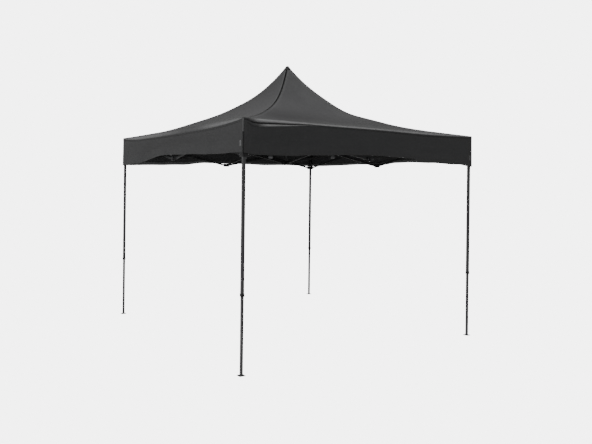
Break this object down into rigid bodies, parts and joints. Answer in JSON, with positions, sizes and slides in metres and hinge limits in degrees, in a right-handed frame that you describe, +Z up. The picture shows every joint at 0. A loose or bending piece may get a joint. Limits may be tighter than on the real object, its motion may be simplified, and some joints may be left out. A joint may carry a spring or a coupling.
{
  "type": "folding party tent",
  "caption": "Square folding party tent: a cloth roof rising to a point, a cloth valance, a scissor truss frame that folds up, and telescopic square legs on foot plates.",
  "frame": {"origin": "on the ground under the middle of the tent, at the height of the foot plates' undersides", "axes": "+Z up; +X and +Y square to the sides, towards the east and north sides"},
  "size_m": [3, 3, 3.08],
  "materials": {
    "roof_cloth": "woven, matt",
    "valance_cloth": "woven, matt",
    "leg_steel": "satin powder coat",
    "bar_steel": "satin powder coat",
    "bracket_plastic": "moulded, matt",
    "pole_metal": "drawn tube"
  },
  "bodies": {
    "centre_hub_top": {"centre_hub_top": "bracket_plastic"},
    "cross_bar_falling_north": {"cross_bar_falling_north": "bar_steel"},
    "cross_bar_rising_north": {"cross_bar_rising_north": "bar_steel"},
    "mid_bracket_bottom_north": {"mid_bracket_bottom_north": "bracket_plastic"},
    "mid_bracket_top_north": {"mid_bracket_top_north": "bracket_plastic", "valance_north": "valance_cloth"},
    "centre_hub_bottom": {"centre_hub_bottom": "bracket_plastic"},
    "side_bar_outer_north_cw": {"side_bar_outer_north_cw": "bar_steel"},
    "side_bar_inner_north_cw": {"side_bar_inner_north_cw": "bar_steel"},
    "leg_ne": {"leg_outer_ne": "leg_steel", "leg_top_bracket_ne": "bracket_plastic"},
    "slider_ne": {"slider_bracket_ne": "bracket_plastic"},
    "leg_inner_ne": {"leg_inner_ne": "leg_steel"},
    "side_bar_outer_north_ccw": {"side_bar_outer_north_ccw": "bar_steel"},
    "side_bar_inner_north_ccw": {"side_bar_inner_north_ccw": "bar_steel"},
    "cross_bar_falling_east": {"cross_bar_falling_east": "bar_steel"},
    "cross_bar_rising_east": {"cross_bar_rising_east": "bar_steel"},
    "mid_bracket_bottom_east": {"mid_bracket_bottom_east": "bracket_plastic"},
    "mid_bracket_top_east": {"mid_bracket_top_east": "bracket_plastic", "valance_east": "valance_cloth"},
    "side_bar_outer_east_cw": {"side_bar_outer_east_cw": "bar_steel"},
    "side_bar_inner_east_cw": {"side_bar_inner_east_cw": "bar_steel"},
    "leg_se": {"leg_outer_se": "leg_steel", "leg_top_bracket_se": "bracket_plastic"},
    "slider_se": {"slider_bracket_se": "bracket_plastic"},
    "leg_inner_se": {"leg_inner_se": "leg_steel"},
    "side_bar_outer_east_ccw": {"side_bar_outer_east_ccw": "bar_steel"},
    "side_bar_inner_east_ccw": {"side_bar_inner_east_ccw": "bar_steel"},
    "cross_bar_falling_south": {"cross_bar_falling_south": "bar_steel"},
    "cross_bar_rising_south": {"cross_bar_rising_south": "bar_steel"},
    "mid_bracket_bottom_south": {"mid_bracket_bottom_south": "bracket_plastic"},
    "mid_bracket_top_south": {"mid_bracket_top_south": "bracket_plastic", "valance_south": "valance_cloth"},
    "side_bar_outer_south_cw": {"side_bar_outer_south_cw": "bar_steel"},
    "side_bar_inner_south_cw": {"side_bar_inner_south_cw": "bar_steel"},
    "leg_sw": {"leg_outer_sw": "leg_steel", "leg_top_bracket_sw": "bracket_plastic"},
    "slider_sw": {"slider_bracket_sw": "bracket_plastic"},
    "leg_inner_sw": {"leg_inner_sw": "leg_steel"},
    "side_bar_outer_south_ccw": {"side_bar_outer_south_ccw": "bar_steel"},
    "side_bar_inner_south_ccw": {"side_bar_inner_south_ccw": "bar_steel"},
    "cross_bar_falling_west": {"cross_bar_falling_west": "bar_steel"},
    "cross_bar_rising_west": {"cross_bar_rising_west": "bar_steel"},
    "mid_bracket_bottom_west": {"mid_bracket_bottom_west": "bracket_plastic"},
    "mid_bracket_top_west": {"mid_bracket_top_west": "bracket_plastic", "valance_west": "valance_cloth"},
    "side_bar_outer_west_cw": {"side_bar_outer_west_cw": "bar_steel"},
    "side_bar_inner_west_cw": {"side_bar_inner_west_cw": "bar_steel"},
    "leg_nw": {"leg_outer_nw": "leg_steel", "leg_top_bracket_nw": "bracket_plastic"},
    "slider_nw": {"slider_bracket_nw": "bracket_plastic"},
    "leg_inner_nw": {"leg_inner_nw": "leg_steel"},
    "side_bar_outer_west_ccw": {"side_bar_outer_west_ccw": "bar_steel"},
    "side_bar_inner_west_ccw": {"side_bar_inner_west_ccw": "bar_steel"},
    "peak_pole": {"peak_pole": "pole_metal", "roof_north": "roof_cloth", "roof_east": "roof_cloth", "roof_south": "roof_cloth", "roof_west": "roof_cloth"}
  },
  "joints": [
    {"name": "frame_fold", "type": "hinge", "parent": "centre_hub_top", "child": "cross_bar_falling_north", "pos_m": [0, 0.04, 2.203], "axis": [-1, 0, 0], "range_deg": [0, 75.7], "deforming": ["roof_north", "roof_east", "roof_south", "roof_west", "valance_north", "valance_east", "valance_south", "valance_west"]},
    {"name": "cross_scissor_north_hinge", "type": "hinge", "parent": "cross_bar_falling_north", "child": "cross_bar_rising_north", "pos_m": [0, 0.74, 2.064], "axis": [-1, 0, 0], "range_deg": [-151.4, 0]},
    {"name": "mid_bottom_north_hinge", "type": "hinge", "parent": "cross_bar_falling_north", "child": "mid_bracket_bottom_north", "pos_m": [0, 1.44, 1.925], "axis": [-1, 0, 0], "range_deg": [-75.7, 0]},
    {"name": "mid_top_north_hinge", "type": "hinge", "parent": "cross_bar_rising_north", "child": "mid_bracket_top_north", "pos_m": [0, 1.44, 2.203], "axis": [-1, 0, 0], "range_deg": [0, 75.7]},
    {"name": "hub_bottom_hinge", "type": "hinge", "parent": "cross_bar_rising_north", "child": "centre_hub_bottom", "pos_m": [0, 0.04, 1.925], "axis": [-1, 0, 0], "range_deg": [0, 75.7]},
    {"name": "side_bar_outer_north_cw_hinge", "type": "hinge", "parent": "mid_bracket_top_north", "child": "side_bar_outer_north_cw", "pos_m": [0.03, 1.47, 2.203], "axis": [0, 1, 0], "range_deg": [0, 75.7]},
    {"name": "side_scissor_north_cw_hinge", "type": "hinge", "parent": "side_bar_outer_north_cw", "child": "side_bar_inner_north_cw", "pos_m": [0.73, 1.47, 2.064], "axis": [0, 1, 0], "range_deg": [-151.4, 0]},
    {"name": "leg_ne_hinge", "type": "hinge", "parent": "side_bar_inner_north_cw", "child": "leg_ne", "pos_m": [1.43, 1.47, 2.203], "axis": [0, 1, 0], "range_deg": [0, 75.7]},
    {"name": "slider_ne_hinge", "type": "hinge", "parent": "side_bar_outer_north_cw", "child": "slider_ne", "pos_m": [1.43, 1.47, 1.925], "axis": [0, 1, 0], "range_deg": [-75.7, 0]},
    {"name": "leg_ne_slide", "type": "slide", "parent": "leg_ne", "child": "leg_inner_ne", "axis": [0, 0, 1], "range_m": [0, 0.66]},
    {"name": "side_bar_outer_north_ccw_hinge", "type": "hinge", "parent": "mid_bracket_top_north", "child": "side_bar_outer_north_ccw", "pos_m": [-0.03, 1.47, 2.203], "axis": [0, -1, 0], "range_deg": [0, 75.7]},
    {"name": "side_scissor_north_ccw_hinge", "type": "hinge", "parent": "side_bar_outer_north_ccw", "child": "side_bar_inner_north_ccw", "pos_m": [-0.73, 1.47, 2.064], "axis": [0, -1, 0], "range_deg": [-151.4, 0]},
    {"name": "cross_falling_east_hinge", "type": "hinge", "parent": "centre_hub_top", "child": "cross_bar_falling_east", "pos_m": [0.04, 0, 2.203], "axis": [0, 1, 0], "range_deg": [0, 75.7]},
    {"name": "cross_scissor_east_hinge", "type": "hinge", "parent": "cross_bar_falling_east", "child": "cross_bar_rising_east", "pos_m": [0.74, 0, 2.064], "axis": [0, 1, 0], "range_deg": [-151.4, 0]},
    {"name": "mid_bottom_east_hinge", "type": "hinge", "parent": "cross_bar_falling_east", "child": "mid_bracket_bottom_east", "pos_m": [1.44, 0, 1.925], "axis": [0, 1, 0], "range_deg": [-75.7, 0]},
    {"name": "mid_top_east_hinge", "type": "hinge", "parent": "cross_bar_rising_east", "child": "mid_bracket_top_east", "pos_m": [1.44, 0, 2.203], "axis": [0, 1, 0], "range_deg": [0, 75.7]},
    {"name": "side_bar_outer_east_cw_hinge", "type": "hinge", "parent": "mid_bracket_top_east", "child": "side_bar_outer_east_cw", "pos_m": [1.47, -0.03, 2.203], "axis": [1, 0, 0], "range_deg": [0, 75.7]},
    {"name": "side_scissor_east_cw_hinge", "type": "hinge", "parent": "side_bar_outer_east_cw", "child": "side_bar_inner_east_cw", "pos_m": [1.47, -0.73, 2.064], "axis": [1, 0, 0], "range_deg": [-151.4, 0]},
    {"name": "leg_se_hinge", "type": "hinge", "parent": "side_bar_inner_east_cw", "child": "leg_se", "pos_m": [1.47, -1.43, 2.203], "axis": [1, 0, 0], "range_deg": [0, 75.7]},
    {"name": "slider_se_hinge", "type": "hinge", "parent": "side_bar_outer_east_cw", "child": "slider_se", "pos_m": [1.47, -1.43, 1.925], "axis": [1, 0, 0], "range_deg": [-75.7, 0]},
    {"name": "leg_se_slide", "type": "slide", "parent": "leg_se", "child": "leg_inner_se", "axis": [0, 0, 1], "range_m": [0, 0.66]},
    {"name": "side_bar_outer_east_ccw_hinge", "type": "hinge", "parent": "mid_bracket_top_east", "child": "side_bar_outer_east_ccw", "pos_m": [1.47, 0.03, 2.203], "axis": [-1, 0, 0], "range_deg": [0, 75.7]},
    {"name": "side_scissor_east_ccw_hinge", "type": "hinge", "parent": "side_bar_outer_east_ccw", "child": "side_bar_inner_east_ccw", "pos_m": [1.47, 0.73, 2.064], "axis": [-1, 0, 0], "range_deg": [-151.4, 0]},
    {"name": "cross_falling_south_hinge", "type": "hinge", "parent": "centre_hub_top", "child": "cross_bar_falling_south", "pos_m": [0, -0.04, 2.203], "axis": [1, 0, 0], "range_deg": [0, 75.7]},
    {"name": "cross_scissor_south_hinge", "type": "hinge", "parent": "cross_bar_falling_south", "child": "cross_bar_rising_south", "pos_m": [0, -0.74, 2.064], "axis": [1, 0, 0], "range_deg": [-151.4, 0]},
    {"name": "mid_bottom_south_hinge", "type": "hinge", "parent": "cross_bar_falling_south", "child": "mid_bracket_bottom_south", "pos_m": [0, -1.44, 1.925], "axis": [1, 0, 0], "range_deg": [-75.7, 0]},
    {"name": "mid_top_south_hinge", "type": "hinge", "parent": "cross_bar_rising_south", "child": "mid_bracket_top_south", "pos_m": [0, -1.44, 2.203], "axis": [1, 0, 0], "range_deg": [0, 75.7]},
    {"name": "side_bar_outer_south_cw_hinge", "type": "hinge", "parent": "mid_bracket_top_south", "child": "side_bar_outer_south_cw", "pos_m": [-0.03, -1.47, 2.203], "axis": [0, -1, 0], "range_deg": [0, 75.7]},
    {"name": "side_scissor_south_cw_hinge", "type": "hinge", "parent": "side_bar_outer_south_cw", "child": "side_bar_inner_south_cw", "pos_m": [-0.73, -1.47, 2.064], "axis": [0, -1, 0], "range_deg": [-151.4, 0]},
    {"name": "leg_sw_hinge", "type": "hinge", "parent": "side_bar_inner_south_cw", "child": "leg_sw", "pos_m": [-1.43, -1.47, 2.203], "axis": [0, -1, 0], "range_deg": [0, 75.7]},
    {"name": "slider_sw_hinge", "type": "hinge", "parent": "side_bar_outer_south_cw", "child": "slider_sw", "pos_m": [-1.43, -1.47, 1.925], "axis": [0, -1, 0], "range_deg": [-75.7, 0]},
    {"name": "leg_sw_slide", "type": "slide", "parent": "leg_sw", "child": "leg_inner_sw", "axis": [0, 0, 1], "range_m": [0, 0.66]},
    {"name": "side_bar_outer_south_ccw_hinge", "type": "hinge", "parent": "mid_bracket_top_south", "child": "side_bar_outer_south_ccw", "pos_m": [0.03, -1.47, 2.203], "axis": [0, 1, 0], "range_deg": [0, 75.7]},
    {"name": "side_scissor_south_ccw_hinge", "type": "hinge", "parent": "side_bar_outer_south_ccw", "child": "side_bar_inner_south_ccw", "pos_m": [0.73, -1.47, 2.064], "axis": [0, 1, 0], "range_deg": [-151.4, 0]},
    {"name": "cross_falling_west_hinge", "type": "hinge", "parent": "centre_hub_top", "child": "cross_bar_falling_west", "pos_m": [-0.04, 0, 2.203], "axis": [0, -1, 0], "range_deg": [0, 75.7]},
    {"name": "cross_scissor_west_hinge", "type": "hinge", "parent": "cross_bar_falling_west", "child": "cross_bar_rising_west", "pos_m": [-0.74, 0, 2.064], "axis": [0, -1, 0], "range_deg": [-151.4, 0]},
    {"name": "mid_bottom_west_hinge", "type": "hinge", "parent": "cross_bar_falling_west", "child": "mid_bracket_bottom_west", "pos_m": [-1.44, 0, 1.925], "axis": [0, -1, 0], "range_deg": [-75.7, 0]},
    {"name": "mid_top_west_hinge", "type": "hinge", "parent": "cross_bar_rising_west", "child": "mid_bracket_top_west", "pos_m": [-1.44, 0, 2.203], "axis": [0, -1, 0], "range_deg": [0, 75.7]},
    {"name": "side_bar_outer_west_cw_hinge", "type": "hinge", "parent": "mid_bracket_top_west", "child": "side_bar_outer_west_cw", "pos_m": [-1.47, 0.03, 2.203], "axis": [-1, 0, 0], "range_deg": [0, 75.7]},
    {"name": "side_scissor_west_cw_hinge", "type": "hinge", "parent": "side_bar_outer_west_cw", "child": "side_bar_inner_west_cw", "pos_m": [-1.47, 0.73, 2.064], "axis": [-1, 0, 0], "range_deg": [-151.4, 0]},
    {"name": "leg_nw_hinge", "type": "hinge", "parent": "side_bar_inner_west_cw", "child": "leg_nw", "pos_m": [-1.47, 1.43, 2.203], "axis": [-1, 0, 0], "range_deg": [0, 75.7]},
    {"name": "slider_nw_hinge", "type": "hinge", "parent": "side_bar_outer_west_cw", "child": "slider_nw", "pos_m": [-1.47, 1.43, 1.925], "axis": [-1, 0, 0], "range_deg": [-75.7, 0]},
    {"name": "leg_nw_slide", "type": "slide", "parent": "leg_nw", "child": "leg_inner_nw", "axis": [0, 0, 1], "range_m": [0, 0.66]},
    {"name": "side_bar_outer_west_ccw_hinge", "type": "hinge", "parent": "mid_bracket_top_west", "child": "side_bar_outer_west_ccw", "pos_m": [-1.47, -0.03, 2.203], "axis": [1, 0, 0], "range_deg": [0, 75.7]},
    {"name": "side_scissor_west_ccw_hinge", "type": "hinge", "parent": "side_bar_outer_west_ccw", "child": "side_bar_inner_west_ccw", "pos_m": [-1.47, -0.73, 2.064], "axis": [1, 0, 0], "range_deg": [-151.4, 0]},
    {"name": "peak_pole_slide", "type": "slide", "parent": "centre_hub_top", "child": "peak_pole", "axis": [0, 0, 1], "range_m": [-0.305, 0]}
  ],
  "couplings": [
    {"joint": "cross_scissor_north_hinge", "follows": "frame_fold", "ratio": -2},
    {"joint": "mid_bottom_north_hinge", "follows": "frame_fold", "ratio": -1},
    {"joint": "mid_top_north_hinge", "follows": "frame_fold", "ratio": 1},
    {"joint": "hub_bottom_hinge", "follows": "frame_fold", "ratio": 1},
    {"joint": "side_bar_outer_north_cw_hinge", "follows": "frame_fold", "ratio": 1},
    {"joint": "side_scissor_north_cw_hinge", "follows": "frame_fold", "ratio": -2},
    {"joint": "leg_ne_hinge", "follows": "frame_fold", "ratio": 1},
    {"joint": "slider_ne_hinge", "follows": "frame_fold", "ratio": -1},
    {"joint": "side_bar_outer_north_ccw_hinge", "follows": "frame_fold", "ratio": 1},
    {"joint": "side_scissor_north_ccw_hinge", "follows": "frame_fold", "ratio": -2},
    {"joint": "cross_falling_east_hinge", "follows": "frame_fold", "ratio": 1},
    {"joint": "cross_scissor_east_hinge", "follows": "frame_fold", "ratio": -2},
    {"joint": "mid_bottom_east_hinge", "follows": "frame_fold", "ratio": -1},
    {"joint": "mid_top_east_hinge", "follows": "frame_fold", "ratio": 1},
    {"joint": "side_bar_outer_east_cw_hinge", "follows": "frame_fold", "ratio": 1},
    {"joint": "side_scissor_east_cw_hinge", "follows": "frame_fold", "ratio": -2},
    {"joint": "leg_se_hinge", "follows": "frame_fold", "ratio": 1},
    {"joint": "slider_se_hinge", "follows": "frame_fold", "ratio": -1},
    {"joint": "side_bar_outer_east_ccw_hinge", "follows": "frame_fold", "ratio": 1},
    {"joint": "side_scissor_east_ccw_hinge", "follows": "frame_fold", "ratio": -2},
    {"joint": "cross_falling_south_hinge", "follows": "frame_fold", "ratio": 1},
    {"joint": "cross_scissor_south_hinge", "follows": "frame_fold", "ratio": -2},
    {"joint": "mid_bottom_south_hinge", "follows": "frame_fold", "ratio": -1},
    {"joint": "mid_top_south_hinge", "follows": "frame_fold", "ratio": 1},
    {"joint": "side_bar_outer_south_cw_hinge", "follows": "frame_fold", "ratio": 1},
    {"joint": "side_scissor_south_cw_hinge", "follows": "frame_fold", "ratio": -2},
    {"joint": "leg_sw_hinge", "follows": "frame_fold", "ratio": 1},
    {"joint": "slider_sw_hinge", "follows": "frame_fold", "ratio": -1},
    {"joint": "side_bar_outer_south_ccw_hinge", "follows": "frame_fold", "ratio": 1},
    {"joint": "side_scissor_south_ccw_hinge", "follows": "frame_fold", "ratio": -2},
    {"joint": "cross_falling_west_hinge", "follows": "frame_fold", "ratio": 1},
    {"joint": "cross_scissor_west_hinge", "follows": "frame_fold", "ratio": -2},
    {"joint": "mid_bottom_west_hinge", "follows": "frame_fold", "ratio": -1},
    {"joint": "mid_top_west_hinge", "follows": "frame_fold", "ratio": 1},
    {"joint": "side_bar_outer_west_cw_hinge", "follows": "frame_fold", "ratio": 1},
    {"joint": "side_scissor_west_cw_hinge", "follows": "frame_fold", "ratio": -2},
    {"joint": "leg_nw_hinge", "follows": "frame_fold", "ratio": 1},
    {"joint": "slider_nw_hinge", "follows": "frame_fold", "ratio": -1},
    {"joint": "side_bar_outer_west_ccw_hinge", "follows": "frame_fold", "ratio": 1},
    {"joint": "side_scissor_west_ccw_hinge", "follows": "frame_fold", "ratio": -2},
    {"joint": "peak_pole_slide", "follows": "frame_fold", "m_per_rad": -0.227}
  ]
}
